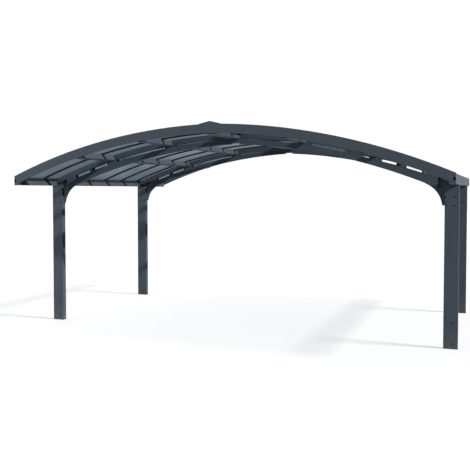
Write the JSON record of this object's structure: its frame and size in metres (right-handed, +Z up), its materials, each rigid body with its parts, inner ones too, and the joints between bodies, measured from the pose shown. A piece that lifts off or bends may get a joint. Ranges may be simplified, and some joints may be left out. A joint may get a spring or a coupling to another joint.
{
  "type": "arched carport",
  "caption": "Open carport with a shallow arched roof of clear sheets on purlins, carried by arched frames on posts with curved knee brackets.",
  "frame": {"origin": "on the ground, in the middle of the plan", "axes": "+X across the arch, +Y from the front to the rear, +Z up"},
  "size_m": [6.27, 4.86, 3.0167],
  "materials": {
    "frame": "satin anthracite powder coat on aluminium",
    "sheet": "smooth grey translucent polycarbonate",
    "foot": "galvanised steel"
  },
  "bodies": {
    "root": {"front_apex_splice": "frame", "left_front_arch_beam": "frame", "left_front_cleats": "frame", "left_front_fascia": "frame", "left_front_foot": "foot", "left_front_knee": "frame", "left_front_post": "frame", "left_front_upper_rail": "frame", "left_gutter": "frame", "left_joint_bars": "frame", "left_lower_purlin": "frame", "left_rear_arch_beam": "frame", "left_rear_cleats": "frame", "left_rear_fascia": "frame", "left_rear_foot": "foot", "left_rear_knee": "frame", "left_rear_post": "frame", "left_rear_upper_rail": "frame", "left_ridge_purlin": "frame", "left_roof_sheets": "sheet", "left_upper_purlin": "frame", "rear_apex_splice": "frame", "ridge_cap": "frame", "right_front_arch_beam": "frame", "right_front_cleats": "frame", "right_front_fascia": "frame", "right_front_foot": "foot", "right_front_knee": "frame", "right_front_post": "frame", "right_front_upper_rail": "frame", "right_gutter": "frame", "right_joint_bars": "frame", "right_lower_purlin": "frame", "right_rear_arch_beam": "frame", "right_rear_cleats": "frame", "right_rear_fascia": "frame", "right_rear_foot": "foot", "right_rear_knee": "frame", "right_rear_post": "frame", "right_rear_upper_rail": "frame", "right_ridge_purlin": "frame", "right_roof_sheets": "sheet", "right_upper_purlin": "frame"}
  },
  "joints": []
}
